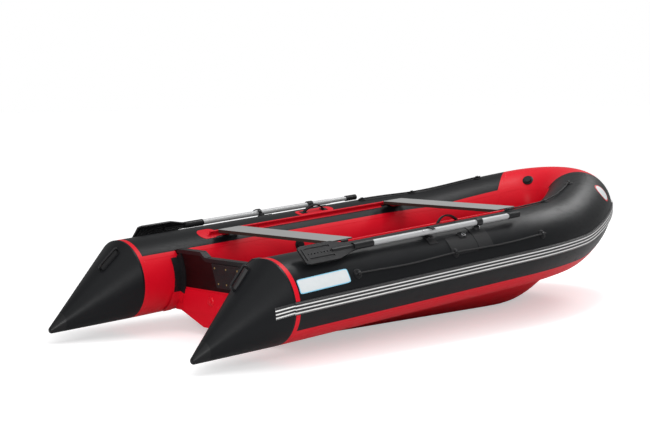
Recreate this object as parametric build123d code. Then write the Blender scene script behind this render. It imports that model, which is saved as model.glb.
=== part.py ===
"""Inflatable boat with an outboard transom, two sliding seats and two oars.

The boat is drawn in its own frame first: x = 0 where the stern cones meet the
side tubes, +X to the bow, +Y to port, z = 0 at the tubes' centreline, all in mm.
At the end every piece is pitched bow-up to the angle at which it parks on its
flat bottom and moved so that the origin is at the middle of the lowest plane.
"""
from build123d import *
import os
from math import asin, atan2, cos, degrees, pi, radians, sin, sqrt, tan

# Tubes
TUBE_R = 225.0            # tube radius
TUBE_Y = 635.0            # tube centreline from the middle
STRAIGHT = 1843.0         # straight length before the bow curve
BOW_R = 2114.0            # radius of the long bow curve, seen from above
BOW_DEG = 34.3            # how far the long curve turns
RISE_X = 2449.0           # where the tubes start to rise
RISE_BLEND = 100.0        # half length of the start of the rise
RISE_SLOPE = 0.147        # slope of the rise
CONE_LEN = 487.0          # stern cone with its cap
CAP_X = 405.0             # where the cone's cap starts
TIP_R = 27.0              # radius of the cone's rounded tip
PARK_DEG = 3.4            # bow-up pitch when parked
SEAT_GAP = 0.3            # between a glued piece and what it is glued on

# Transom
TRANSOM_X = 270.0
TRANSOM_T = 38.0
TRANSOM_TOP = 147.0
TRANSOM_LOW = -200.0
NOTCH_Z = 115.0
NOTCH_HALF = 180.0
NOTCH_SLOPE = 47.0
NOTCH_ROUND = 14.0        # rounding of the notch's corners
TRIM_LIP = 4.0            # trim's wall on each face of the board
TRIM_HEAD = 6.0           # trim above the board's edge
TRIM_DOWN = 16.0          # trim below the board's edge
SKIRT_TOP = -72.0
SKIRT_HALF = 408.0
SKIRT_T = 4.0
VALVE_Y = 150.0
VALVE_Z = -120.0
PAD_TOP_Z = 100.0
PAD_LOW_Z = -38.0
PAD_TOP_HALF = 125.0
PAD_LOW_HALF = 88.0
PAD_T = 7.0
MOUNT_DEG = (152.0, 222.0)   # moulded transom mounts, round the tube
MOUNT_SPAN = 52.0         # mount ahead of and behind the board
MOUNT_FIN = 10.0          # fins that hold the board
MOUNT_FIN_H = 40.0
MOUNT_T = 7.0

# Bottom and floor
FLOOR_TOP = -160.0
FLOOR_HALF = 452.0
BOTTOM_TOP = -200.0
FLAT_HALF = 215.0
PARK_DEPTH = -304.0       # bottom panel below the tube frame's origin when parked
STERN_FLAT_X = 900.0      # the keel line lifts aft of here
STERN_LIFT = 42.0
BOW_FLAT_X = 2150.0       # and ahead of here
STEM_X = 3250.0           # where the keel line meets the bow tube
STEM_LIFT = 397.0
STEM_POWER = 2.6
GUARD_T = 6.0
GUARD_AFT_X = 420.0

# Seats
SEAT_HALF = 484.0
SEAT_W = 172.0
SEAT_T = 18.0
SEAT_TOP = 217.0
SEAT_AFT_X = 690.0
SEAT_FORE_X = 2062.0
SEAT_ROUND = 12.0
RAIL_DEG = 123.0
RAIL_X0 = 560.0
RAIL_X1 = 2085.0
RAIL_HEAD_R = 6.0
RAIL_RAISE = 22.0         # rail head's middle above the tube's skin
RAIL_WEB = 5.0
RAIL_FOOT_W = 42.0
RAIL_FOOT_T = 3.0
SLIDE_LEN = 50.0
SLIDE_WALL = 5.0
SLIDE_PLAY = 0.6
SLIDE_MOUTH = 9.0         # slot in the slide that the rail's web passes through
SLIDE_ARM = 6.0           # thickness of the arm under the board
SLIDE_REACH = 44.0        # arm's length under the board

# Oars
OAR_OUT = 135.0           # shaft outboard of the tube centreline
OAR_Z = 227.0
OAR_TILT = 20.0           # swing axis leans outboard
BLADE_TILT = 46.0         # blade plane below the horizontal, outboard
SHAFT_R = 16.0
INNER_R = 13.5
SHAFT_FIT = 0.2
PIVOT_X = {"starboard": 1480.0, "port": 1592.0}
CLIP_X = {"starboard": 1085.0, "port": 1159.0}
GRIP_END = {"starboard": 1834.0, "port": 2008.0}
BLADE_X0 = {"starboard": 141.0, "port": 218.0}
SHOWN_INNER = {"starboard": 6.0, "port": 140.0}   # inner shaft drawn out of the outer one
INNER_HIDDEN = 420.0
GRIP_LEN = 96.0
GRIP_R = 18.0
BLADE_LEN = 388.0
BLADE_AFT_HALF = 50.0
BLADE_HALF = 58.0
BLADE_T = 9.0
BLADE_SKIN = 3.0          # web left under the blade's pockets
SLOT_W = 13.0
SLOT_LEN = 175.0
SLOT_OFF = 31.0
HOLE_R = 4.0
HOLES = 8
SLEEVE_LEN = 140.0
SLEEVE_WALL = 4.0
COLLAR_LEN = 44.0
COLLAR_WALL = 7.0
PIN_R = 8.0
PIN_LEN = 15.0
PIN_FIT = 0.4
BOSS_R = 17.0
BOSS_FOOT_R = 34.0
PATCH_T = 3.0             # rubber patch under a fitting
CLIP_R = 22.0
CLIP_WALL = 4.0
CLIP_LEN = 24.0

# Fittings on the tubes
STRAKE_DEG = -2.2
STRAKE_W = 66.0
STRAKE_T = 9.0
EYE_SIDE_DEG = 25.0
EYE_SIDE_X = (460.0, 1205.0, 1950.0)
EYE_TOP_DEG = 94.0
EYE_TOP_S = (1920.0, 2340.0, 2870.0)
EYE_FOOT_R = 27.0
EYE_FOOT_T = 5.0
EYE_LOOP_LEN = 16.0
EYE_WALL = 2.6
EYE_PLAY = 1.5
ROPE_R = 4.5
ROPE_TAIL = 25.0
ROPE_SAG_DEG = 2.0        # the side ropes hang this much lower between their eyes
EYE_LIFT = 9.0            # rope centre above the tube's skin
HANDLE_X = 1445.0
HANDLE_DEG = 107.0
HANDLE_SPAN = 172.0
HANDLE_H = 46.0
HANDLE_T = 9.0
HANDLE_W = 17.0
HANDLE_PAD = (46.0, 34.0)
CONE_HANDLE_X = (45.0, 155.0)
CONE_HANDLE_DEG = 108.0
CONE_HANDLE_H = 30.0
CONE_HANDLE_R = 7.0
CONE_HANDLE_BEND = 14.0
CONE_PAD = (160.0, 44.0)
TOW_DEG = -38.0
TOW_FOOT_R = 32.0
TOW_LOOP_R = 20.0
TOW_HOLE_R = 11.0
TOW_T = 14.0
TOW_LIFT = 30.0
VALVE_R = 36.0
SIDE_VALVE_X = 1180.0
SIDE_VALVE_DEG = 168.0
BOW_VALVE_S = 3240.0
BOW_VALVE_DEG = 135.0

# The nose is a ring segment in a plane that rises to the bow at RISE_SLOPE.
TILT = atan2(RISE_SLOPE, 1.0)
NOSE_S0 = STRAIGHT + BOW_R * radians(BOW_DEG)
NOSE_X = STRAIGHT + BOW_R * sin(radians(BOW_DEG))
NOSE_Y = TUBE_Y - BOW_R * (1 - cos(radians(BOW_DEG)))
NOSE_A = atan2(tan(radians(BOW_DEG)) * cos(TILT), 1.0)     # heading in that plane
NOSE_R = NOSE_Y / cos(NOSE_A)
S_END = NOSE_S0 + NOSE_R * (pi / 2 - NOSE_A)


def rise(x):
    a = RISE_X - RISE_BLEND
    if x <= a:
        return 0.0
    if x >= RISE_X + RISE_BLEND:
        return RISE_SLOPE * (x - RISE_X)
    return RISE_SLOPE * (x - a) ** 2 / (4 * RISE_BLEND)


def plan(s):
    """Port centreline from above at length s from the cone joint, with heading."""
    if s <= STRAIGHT:
        return s, TUBE_Y, 0.0
    a = (min(s, NOSE_S0) - STRAIGHT) / BOW_R
    return STRAIGHT + BOW_R * sin(a), TUBE_Y - BOW_R * (1 - cos(a)), a


def centre(s):
    """Point on the centreline; past the nose's middle it goes down the other side."""
    if s > S_END:
        twin = centre(2 * S_END - s)
        return Vector(twin.X, -twin.Y, twin.Z)
    if s <= NOSE_S0:
        x, y, _ = plan(s)
        return Vector(x, y, rise(x))
    a = NOSE_A + (s - NOSE_S0) / NOSE_R
    ahead = NOSE_R * (sin(a) - sin(NOSE_A))
    return Vector(NOSE_X + ahead * cos(TILT), NOSE_R * cos(a), rise(NOSE_X) + ahead * sin(TILT))


def frame(s):
    """Centreline point with its tangent, outboard and upward directions."""
    d = 0.1
    p = centre(s)
    t = (centre(s + d) - centre(s - d)).normalized()
    n = Vector(0, 0, 1).cross(t).normalized()
    b = t.cross(n)
    return p, t, n, b


def skin(s, deg, r):
    """Point round the tube: 0 deg is outboard, 90 deg is up."""
    p, t, n, b = frame(s)
    a = radians(deg)
    return p + n * (r * cos(a)) + b * (r * sin(a))


def tube_piece(s0, s1, r, n):
    pts = [centre(s0 + (s1 - s0) * i / n) for i in range(n + 1)]
    path = Spline(*pts, tangents=[frame(s0)[1], frame(s1)[1]])
    section = Plane(origin=pts[0], x_dir=frame(s0)[2], z_dir=frame(s0)[1]) * Circle(r)
    return sweep(section, path=path).solid()


def strip_section(s, deg, width, thick):
    """Section of a moulded strip that stands a hair off the skin."""
    h = degrees(width / 2 / TUBE_R)
    r = TUBE_R + SEAT_GAP
    shoulder, top = r + thick * 0.45, r + thick
    inner = ThreePointArc(skin(s, deg - h, r), skin(s, deg, r), skin(s, deg + h, r))
    outer = Polyline(skin(s, deg + h, r), skin(s, deg + h, shoulder), skin(s, deg + h * 0.8, top),
                     skin(s, deg - h * 0.8, top), skin(s, deg - h, shoulder), skin(s, deg - h, r))
    return make_face([inner] + list(outer.edges()))


def rod(path, r):
    """Round bar along a path."""
    return sweep(Plane(origin=path @ 0, z_dir=path % 0) * Circle(r), path=path).solid()


def turned(p, axis, profile):
    """Round piece from a profile of (radius, height) corners, standing on p along axis."""
    face = make_face(Polyline(*[(r, 0, h) for r, h in profile], close=True))
    return revolve(face, axis=Axis.Z).solid().moved(Plane(origin=p, z_dir=axis).location)


def cyl(p, axis, r, length):
    """Cylinder from p along axis."""
    return extrude(Plane(origin=p, z_dir=axis) * Circle(r), length).solid()


def box_at(p, x_dir, z_dir, lx, ly, lz):
    """Block centred on p in its own x and y, standing on p along z_dir."""
    return extrude(Plane(origin=p, x_dir=x_dir, z_dir=z_dir) * Rectangle(lx, ly), lz).solid()


def arc_pad(x0, x1, d0, d1, r0, r1, side=1):
    """Part of a ring on the straight tube, between angles d0 and d1."""
    c = Plane(origin=(x0, TUBE_Y, 0), x_dir=(0, 1, 0), z_dir=(1, 0, 0))
    a = (d0 + d1) / 2
    h = (d1 - d0) / 2
    reach = r1 * 1.6
    wedge = make_face(Polyline((0, 0), (reach * cos(radians(a - h)), reach * sin(radians(a - h))),
                               (reach * cos(radians(a)) * 1.6, reach * sin(radians(a)) * 1.6),
                               (reach * cos(radians(a + h)), reach * sin(radians(a + h))), close=True))
    ring = (Circle(r1) - Circle(r0)) & wedge
    solid = extrude(c * ring, x1 - x0).solid()
    return solid if side > 0 else mirror(solid, Plane.XZ)


nodes = {}


def largest(shape):
    return max(shape.solids(), key=lambda q: q.volume)


def both(name, solid):
    """A port piece and its starboard twin."""
    nodes["port_" + name] = solid
    nodes["starboard_" + name] = mirror(solid, Plane.XZ)


# Tubes and cones
straight = extrude(Plane(origin=(0, TUBE_Y, 0), z_dir=(1, 0, 0)) * Circle(TUBE_R), STRAIGHT).solid()
port_tube = (straight + tube_piece(STRAIGHT, NOSE_S0, TUBE_R, 14)).solid()
both("tube", port_tube)
NOSE_START = NOSE_S0 + SEAT_GAP
NOSE_TURN = degrees(2 * (S_END - NOSE_START) / NOSE_R)
nose_axis = Axis(centre(NOSE_S0) + Vector(-cos(TILT), 0, -sin(TILT)) * (NOSE_R * sin(NOSE_A)) - Vector(0, NOSE_Y, 0),
                 (sin(TILT), 0, -cos(TILT)))
start = frame(NOSE_START)
nose_face = Plane(origin=start[0], x_dir=start[2], z_dir=start[1]) * Circle(TUBE_R)
nodes["bow_tube"] = revolve(nose_face, axis=nose_axis, revolution_arc=NOSE_TURN).solid()


def cone_radius(x):
    return TUBE_R + (TIP_R - TUBE_R) * x / (CONE_LEN - TIP_R)


def cone_section(x, grow=0.0):
    r = cone_radius(x) + grow
    return Plane(origin=(-x, TUBE_Y, -(TUBE_R - cone_radius(x))), z_dir=(1, 0, 0)) * Circle(r)


both("cone", loft([cone_section(CAP_X), cone_section(0)], ruled=True).solid())
cap = loft([cone_section(CONE_LEN), cone_section(CAP_X)], ruled=True).solid()
tip_edge = cap.edges().sort_by(Axis.X)[0]
cap = fillet(tip_edge, cone_radius(CONE_LEN) * 0.8)
both("cone_cap", cap.solid())

# the same tubes a hair larger, to cut whatever is glued on them
fat_r = TUBE_R + SEAT_GAP
fat_straight = extrude(Plane(origin=(0, TUBE_Y, 0), z_dir=(1, 0, 0)) * Circle(fat_r), STRAIGHT).solid()
fat_port = (fat_straight + tube_piece(STRAIGHT, NOSE_S0, fat_r, 14)).solid()
fat_face = Plane(origin=start[0], x_dir=start[2], z_dir=start[1]) * Circle(fat_r)
lap = degrees(2 * SEAT_GAP / NOSE_R)
fat_bow = revolve(fat_face, axis=nose_axis, revolution_arc=NOSE_TURN + 2 * lap).solid().rotate(nose_axis, -lap)
tubes = [fat_port, mirror(fat_port, Plane.XZ), fat_bow]


def off_tubes(solid):
    """What is left of a solid outside the tubes."""
    reach = solid.bounding_box()
    for t in tubes:
        other = t.bounding_box()
        apart = (reach.min.X > other.max.X or reach.max.X < other.min.X or reach.min.Y > other.max.Y
                 or reach.max.Y < other.min.Y or reach.min.Z > other.max.Z or reach.max.Z < other.min.Z)
        if not apart:
            solid = solid - t
    return largest(solid)


# Bottom, floor and guards
slope = tan(radians(PARK_DEG))


def flat_z(x):
    """Height of the parked bottom plane in the boat's frame."""
    return PARK_DEPTH / cos(radians(PARK_DEG)) - x * slope


def bottom_z(x):
    """Keel line: flat on the ground amidships, lifting to the stern and up the stem."""
    z = flat_z(x)
    if x < STERN_FLAT_X:
        z += STERN_LIFT * ((STERN_FLAT_X - x) / (STERN_FLAT_X - TRANSOM_X)) ** 1.6
    if x > BOW_FLAT_X:
        z += STEM_LIFT * ((x - BOW_FLAT_X) / (STEM_X - BOW_FLAT_X)) ** STEM_POWER
    return z


def station(x):
    """Length along the centreline whose point lies at x, no further than the nose's middle."""
    if x <= STRAIGHT:
        return x
    lo, hi = STRAIGHT, S_END
    for _ in range(40):
        s = (lo + hi) / 2
        if centre(s).X < x:
            lo = s
        else:
            hi = s
    return s


BOTTOM_IN = 105.0         # bottom panel's seam inboard of the tube centreline
BOTTOM_OUT = 25.0         # where the panel touches the tube's underside
CHINE_X = 600.0           # aft of here the panel narrows to the transom
CHINE_IN = 430.0          # half width of the panel at the transom
CHINE_LIFT = 28.0


def bottom_section(x, half):
    """Six-sided section of the bottom at x, with a keel flat of the given half width."""
    s = station(x)
    c = centre(s)
    t = frame(s)[1]
    lean = min(1.0 / max(t.X, 0.01), 2.0)
    low = c.Z - sqrt(max(TUBE_R ** 2 - (x - c.X) ** 2, 0)) - 1.0
    y_in = max(c.Y - BOTTOM_IN * lean, half + 6.0)
    y_out = max(c.Y - BOTTOM_OUT * lean, half + 10.0)
    if x < CHINE_X:
        w = (x - TRANSOM_X) / (CHINE_X - TRANSOM_X)
        y_in = CHINE_IN + (y_in - CHINE_IN) * w
        y_out = CHINE_IN + 10.0 + (y_out - CHINE_IN - 10.0) * w
        low += CHINE_LIFT * (1 - w)
    zt, zb = c.Z + BOTTOM_TOP, bottom_z(x)
    side = max(low, zb + 6)
    return Polyline((x, -y_in, zt), (x, -y_out, side), (x, -half, zb), (x, half, zb),
                    (x, y_out, side), (x, y_in, zt), close=True)


keel_flat = [(TRANSOM_X, 240.0), (CHINE_X, FLAT_HALF + 8), (STERN_FLAT_X, FLAT_HALF), (1300.0, FLAT_HALF),
             (1750.0, FLAT_HALF), (BOW_FLAT_X, FLAT_HALF), (2450.0, 190.0), (2700.0, 145.0), (2880.0, 105.0),
             (3010.0, 70.0), (3110.0, 40.0), (3190.0, 18.0), (3235.0, 8.0)]
body = loft([make_face(bottom_section(x, h)) for x, h in keel_flat]).solid()
nodes["hull_bottom"] = off_tubes(body)


def deck_half(x):
    """Half width of the floor deck: straight amidships, then inside the bow curve."""
    if x <= STRAIGHT:
        return FLOOR_HALF
    return FLOOR_HALF - BOW_R * (1 - cos(asin((x - STRAIGHT) / BOW_R)))


DECK_AFT_X = TRANSOM_X + TRANSOM_T + 2
DECK_FORE_X = 2650.0
deck_edge = [(x, deck_half(x)) for x in (DECK_AFT_X, STRAIGHT, 2050.0, 2300.0, 2500.0, DECK_FORE_X)]
outline = make_face(Polyline(*deck_edge, *[(x, -y) for x, y in reversed(deck_edge)], close=True))
deck = extrude(Plane(origin=(0, 0, BOTTOM_TOP + SEAT_GAP)) * outline, FLOOR_TOP - BOTTOM_TOP - SEAT_GAP).solid()
nodes["floor_deck"] = off_tubes(deck)
below = extrude(Plane(origin=(0, 0, BOTTOM_TOP)) * outline, 120).solid()
above = Pos(0, 0, BOTTOM_TOP + 250) * Box(2 * (RISE_X - 2 * RISE_BLEND), 2000, 500)
nodes["hull_bottom"] = largest(nodes["hull_bottom"] - below - above)


def guard(y, half, x0, x1):
    """Rubber strip along the underside, following the keel line."""
    n = 26
    low = [(x0 + (x1 - x0) * i / n, 0, bottom_z(x0 + (x1 - x0) * i / n) - GUARD_T) for i in range(n + 1)]
    up = [(x, 0, z + GUARD_T + 8.0) for x, _, z in reversed(low)]
    band = extrude(make_face(Polyline(*low, *up, close=True)), half, both=True).solid()
    strip = (Pos(0, y, 0) * band) - Pos(0, 0, -SEAT_GAP) * nodes["hull_bottom"]
    return min(strip.solids(), key=lambda q: q.center().Z)


nodes["keel_guard"] = guard(0, 30.0, GUARD_AFT_X, 2900.0)
nodes["port_bottom_guard"] = guard(FLAT_HALF - 45.0, 20.0, GUARD_AFT_X, 2330.0)
nodes["starboard_bottom_guard"] = mirror(nodes["port_bottom_guard"], Plane.XZ)

# Transom
half_top = TUBE_Y - sqrt(TUBE_R ** 2 - TRANSOM_TOP ** 2)
notch = [(-NOTCH_HALF - NOTCH_SLOPE, TRANSOM_TOP), (-NOTCH_HALF, NOTCH_Z),
         (NOTCH_HALF, NOTCH_Z), (NOTCH_HALF + NOTCH_SLOPE, TRANSOM_TOP)]
wide, foot = half_top + 20, TRANSOM_LOW + SEAT_GAP
board = make_face(Polyline((-wide, TRANSOM_TOP), *notch, (wide, TRANSOM_TOP), (wide, foot), (-wide, foot), close=True))
board = fillet(board.vertices().filter_by(lambda v: abs(v.X) < NOTCH_HALF + NOTCH_SLOPE + 1), NOTCH_ROUND)
aft = Plane(origin=(TRANSOM_X, 0, 0), x_dir=(0, 1, 0), z_dir=(1, 0, 0))
nodes["transom"] = off_tubes(extrude(aft * board, TRANSOM_T).solid())

# moulded trim over the board's top edge
trim_end = half_top - 26.0
edge_line = [(-trim_end, TRANSOM_TOP), *notch, (trim_end, TRANSOM_TOP)]
lip = make_face(Polyline(*[(y, z + TRIM_HEAD) for y, z in edge_line],
                         *[(y, z - TRIM_DOWN) for y, z in reversed(edge_line)], close=True))
lip = fillet(lip.vertices().filter_by(lambda v: abs(v.X) < NOTCH_HALF + NOTCH_SLOPE + 1), NOTCH_ROUND)
trim = extrude(aft.offset(-TRIM_LIP) * lip, TRANSOM_T + 2 * TRIM_LIP).solid() - nodes["transom"]
nodes["transom_edge_trim"] = largest(trim)


def motor_pad(x, depth):
    """Trapezoid plate that the outboard's clamp screws bear on."""
    top = PAD_TOP_Z - TRIM_LIP
    face = make_face(Polyline((-PAD_TOP_HALF, top), (PAD_TOP_HALF, top), (PAD_LOW_HALF, PAD_LOW_Z),
                              (-PAD_LOW_HALF, PAD_LOW_Z), close=True))
    face = fillet(face.vertices(), 5.0)
    return extrude(Plane(origin=(x, 0, 0), x_dir=(0, 1, 0), z_dir=(1, 0, 0)) * face, depth).solid()


nodes["outer_motor_pad"] = motor_pad(TRANSOM_X - PAD_T, PAD_T)
nodes["inner_motor_pad"] = motor_pad(TRANSOM_X + TRANSOM_T, PAD_T)
skirt = extrude(Plane(origin=(TRANSOM_X - SKIRT_T, 0, (SKIRT_TOP + TRANSOM_LOW) / 2), x_dir=(0, 1, 0), z_dir=(1, 0, 0))
                * Rectangle(2 * SKIRT_HALF, SKIRT_TOP - TRANSOM_LOW), SKIRT_T).solid()
nodes["stern_skirt"] = off_tubes(skirt)
nodes["drain_valve"] = turned(Vector(TRANSOM_X - SKIRT_T, VALVE_Y, VALVE_Z), (-1, 0, 0),
                              [(0, 0), (26, 0), (26, 3), (22, 8), (15, 9), (15, 16), (12, 18), (0, 18)])

# moulded profiles that hold the transom to the tubes: a pad with two fins
mount_from, mount_to = TRANSOM_X - MOUNT_SPAN, TRANSOM_X + TRANSOM_T + MOUNT_SPAN
fin_deg = (MOUNT_DEG[0] - 2, MOUNT_DEG[1] - 7)
mount = arc_pad(mount_from, mount_to, *MOUNT_DEG, fat_r, fat_r + MOUNT_T)
mount += arc_pad(TRANSOM_X - MOUNT_FIN, TRANSOM_X - SEAT_GAP, *fin_deg, fat_r, TUBE_R + MOUNT_FIN_H)
front = TRANSOM_X + TRANSOM_T
mount += arc_pad(front + SEAT_GAP, front + MOUNT_FIN, *fin_deg, fat_r, TUBE_R + MOUNT_FIN_H)
mount = largest(mount - nodes["transom_edge_trim"])
both("transom_mount", mount)
bed = arc_pad(mount_from, mount_to, MOUNT_DEG[0] - 4, MOUNT_DEG[1] + 2, TUBE_R, fat_r + MOUNT_T + SEAT_GAP)
for name in ("transom", "transom_edge_trim", "stern_skirt"):
    rest = nodes[name] - bed - mirror(bed, Plane.XZ)
    if name == "stern_skirt":
        rest = rest - mount - nodes["starboard_transom_mount"]
    nodes[name] = largest(rest)

# Rubbing strakes
strake = extrude(strip_section(0, STRAKE_DEG, STRAKE_W, STRAKE_T), STRAIGHT, dir=(1, 0, 0)).solid()
both("strake", strake)
bend_from, bend_to, bend_steps = STRAIGHT + SEAT_GAP, NOSE_S0 - SEAT_GAP, 12
bend = [bend_from + (bend_to - bend_from) * i / bend_steps for i in range(bend_steps + 1)]
both("curved_strake", loft([strip_section(s, STRAKE_DEG, STRAKE_W, STRAKE_T) for s in bend]).solid())
nodes["bow_strake"] = revolve(strip_section(NOSE_START, STRAKE_DEG, STRAKE_W, STRAKE_T), axis=nose_axis,
                              revolution_arc=NOSE_TURN).solid()

# Seat rails: a round head on a web, on a foot glued to the tube
rail_out = Vector(0, cos(radians(RAIL_DEG)), sin(radians(RAIL_DEG)))
rail_len = RAIL_X1 - RAIL_X0


def rail_point(x, r):
    return Vector(x, TUBE_Y, 0) + rail_out * r


head = cyl(rail_point(RAIL_X0, TUBE_R + RAIL_RAISE), (1, 0, 0), RAIL_HEAD_R, rail_len)
web = box_at(rail_point(RAIL_X0 + rail_len / 2, TUBE_R - 10), (1, 0, 0), rail_out, rail_len, RAIL_WEB, RAIL_RAISE + 10)
half_foot = degrees(RAIL_FOOT_W / 2 / TUBE_R)
rail_foot = arc_pad(RAIL_X0, RAIL_X1, RAIL_DEG - half_foot, RAIL_DEG + half_foot, TUBE_R, TUBE_R + RAIL_FOOT_T)
both("seat_rail", off_tubes(head + web + rail_foot))


def seat(tag, x):
    """Board with a slide under each end that grips the rail's head."""
    plank = Pos(x, 0, SEAT_TOP - SEAT_T / 2) * Box(SEAT_W, 2 * SEAT_HALF, SEAT_T)
    plank = fillet(plank.edges().filter_by(Axis.Z), SEAT_ROUND)
    nodes[tag + "_seat_board"] = plank.solid()
    p = rail_point(x, TUBE_R + RAIL_RAISE)
    under = SEAT_TOP - SEAT_T
    arm_from = SEAT_HALF - SLIDE_REACH
    slide = cyl(Vector(x - SLIDE_LEN / 2, p.Y, p.Z), (1, 0, 0), RAIL_HEAD_R + SLIDE_WALL, SLIDE_LEN)
    arm_to = p.Y - RAIL_HEAD_R
    slide += Pos(x, (arm_from + arm_to) / 2, under - SLIDE_ARM / 2) * Box(SLIDE_LEN, arm_to - arm_from, SLIDE_ARM)
    slide -= cyl(Vector(x - SLIDE_LEN, p.Y, p.Z), (1, 0, 0), RAIL_HEAD_R + SLIDE_PLAY, 2 * SLIDE_LEN)
    slide -= box_at(p - rail_out * 20, (1, 0, 0), rail_out, 2 * SLIDE_LEN, SLIDE_MOUTH, 20)
    nodes[tag + "_seat_port_slide"] = largest(slide)
    nodes[tag + "_seat_starboard_slide"] = mirror(largest(slide), Plane.XZ)


seat("aft", SEAT_AFT_X)
seat("fore", SEAT_FORE_X)

# Oars, drawn on the port side
axis = Vector(0, sin(radians(OAR_TILT)), cos(radians(OAR_TILT)))
flat = Vector(0, cos(radians(OAR_TILT)), -sin(radians(OAR_TILT)))


def oar_point(x, d=0.0):
    """Point on the shaft's line at x, raised by d along the swing axis."""
    return Vector(x, TUBE_Y + OAR_OUT, OAR_Z) + axis * d


def blade_at(x0):
    """Moulded blade: flat web with a rim, a spine, long pockets and a row of holes, and a sleeve for the shaft."""
    up = Vector(0, sin(radians(BLADE_TILT)), cos(radians(BLADE_TILT)))
    side = [(0, BLADE_AFT_HALF), (24, BLADE_HALF), (BLADE_LEN * 0.6, BLADE_HALF),
            (BLADE_LEN * 0.85, BLADE_HALF * 0.5), (BLADE_LEN, SHAFT_R + SLEEVE_WALL)]
    outline = make_face(Polyline(*side, *[(a, -b) for a, b in reversed(side)], close=True))
    outline = fillet(outline.vertices().filter_by(lambda v: v.X < BLADE_LEN * 0.9), 10.0)
    blade_plane = Plane(origin=oar_point(x0) - up * (BLADE_T / 2), x_dir=(1, 0, 0), z_dir=up)
    blade = extrude(blade_plane * outline, BLADE_T).solid()
    middle = 34.0 + SLOT_LEN / 2
    pockets = Pos(middle, SLOT_OFF) * SlotOverall(SLOT_LEN, SLOT_W) + Pos(middle, -SLOT_OFF) * SlotOverall(SLOT_LEN, SLOT_W)
    pockets += Pos(16, 0) * SlotOverall(2 * BLADE_AFT_HALF - 22, 8.0, rotation=90)
    for face_z, way in ((BLADE_T, -1), (0.0, 1)):
        blade -= extrude(blade_plane.offset(face_z) * pockets, way * (BLADE_T - BLADE_SKIN) / 2)
    pitch = SLOT_LEN / HOLES
    holes = [Pos(middle - SLOT_LEN / 2 + pitch * (i + 0.5), 0) * Circle(HOLE_R) for i in range(HOLES)]
    blade -= extrude(blade_plane * Sketch(children=holes), BLADE_T)
    spine_from = x0 + middle + SLOT_LEN / 2
    blade += cyl(oar_point(spine_from), (1, 0, 0), SHAFT_R * 0.7, x0 + BLADE_LEN - spine_from)
    blade += cyl(oar_point(x0 + BLADE_LEN - 30), (1, 0, 0), SHAFT_R + SLEEVE_WALL, SLEEVE_LEN)
    blade -= cyl(oar_point(x0 + BLADE_LEN), (1, 0, 0), SHAFT_R + SHAFT_FIT, SLEEVE_LEN + 60)
    return largest(blade)


def collar_at(x):
    """Collar round the shaft with the pin that turns in the socket."""
    collar = cyl(oar_point(x - COLLAR_LEN / 2), (1, 0, 0), SHAFT_R + COLLAR_WALL, COLLAR_LEN)
    collar = chamfer(collar.edges(), 2.0)
    collar += cyl(oar_point(x, -SHAFT_R - 3), -axis, PIN_R, PIN_LEN)
    collar -= cyl(oar_point(x - COLLAR_LEN), (1, 0, 0), SHAFT_R + SHAFT_FIT, 2 * COLLAR_LEN)
    return largest(collar)


def socket_at(x):
    """Rubber patch with a flared boss, bored for the collar's pin."""
    bore = cyl(oar_point(x), -axis, PIN_R + PIN_FIT, SHAFT_R + 3 + PIN_LEN + 0.5)
    boss = turned(oar_point(x, -SHAFT_R - 9), -axis, [(0, 0), (BOSS_R, 0), (BOSS_R, 8), (BOSS_FOOT_R, 34), (0, 34)])
    patch = arc_pad(x - 75, x + 45, 24, 84, TUBE_R, TUBE_R + PATCH_T)
    return largest(patch + boss - fat_straight - bore)


def clip_at(x):
    """Clip that holds the stowed shaft, open outboard so that the shaft can swing away."""
    wall_r = CLIP_R + CLIP_WALL
    ring = Circle(wall_r) + Pos(0, -wall_r / 2) * Rectangle(2 * wall_r, wall_r)
    ring -= Circle(CLIP_R) + Pos(0, -CLIP_R) * Rectangle(2 * CLIP_R, 2 * CLIP_R)
    clip = extrude(Plane(origin=oar_point(x - CLIP_LEN / 2), x_dir=axis, z_dir=(1, 0, 0)) * ring, CLIP_LEN).solid()
    radial = Vector(0, OAR_OUT, OAR_Z).normalized()
    inward = Vector(0, -radial.Z, radial.Y)
    stand = box_at(Vector(x, TUBE_Y, 0) + radial * (TUBE_R - 5) + inward * 16, (1, 0, 0), radial, 30, 34, 26)
    patch = arc_pad(x - 32, x + 32, 45, 80, TUBE_R, TUBE_R + PATCH_T)
    clip = clip + stand + patch - cyl(oar_point(x - 60), (1, 0, 0), CLIP_R, 120) - fat_straight
    return largest(clip - box_at(oar_point(x), (1, 0, 0), flat, 120, 2 * CLIP_R, 60))


for side in ("port", "starboard"):
    grip_to = GRIP_END[side]
    inner_to = grip_to - GRIP_LEN
    outer_to = inner_to - SHOWN_INNER[side]
    inner_from = outer_to - INNER_HIDDEN
    neck = BLADE_X0[side] + BLADE_LEN + SEAT_GAP
    outer = cyl(oar_point(neck), (1, 0, 0), SHAFT_R, outer_to - neck)
    outer -= cyl(oar_point(neck - 5), (1, 0, 0), INNER_R + SHAFT_FIT, outer_to - neck + 10)
    grip = chamfer(cyl(oar_point(inner_to + SEAT_GAP), (1, 0, 0), GRIP_R, GRIP_LEN - SEAT_GAP).edges(), 3.0)
    grip -= cyl(oar_point(inner_to - 10), (1, 0, 0), INNER_R + SHAFT_FIT, GRIP_LEN)
    pieces = {
        "_oar_blade": blade_at(BLADE_X0[side]),
        "_oar_shaft": outer.solid(),
        "_oar_inner_shaft": cyl(oar_point(inner_from), (1, 0, 0), INNER_R, grip_to - 20 - inner_from),
        "_oar_grip": grip.solid(),
        "_oarlock": collar_at(PIVOT_X[side]),
        "_oarlock_base": socket_at(PIVOT_X[side]),
        "_oar_clip": clip_at(CLIP_X[side]),
    }
    for name, piece in pieces.items():
        nodes[side + name] = piece if side == "port" else mirror(piece, Plane.XZ)

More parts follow.
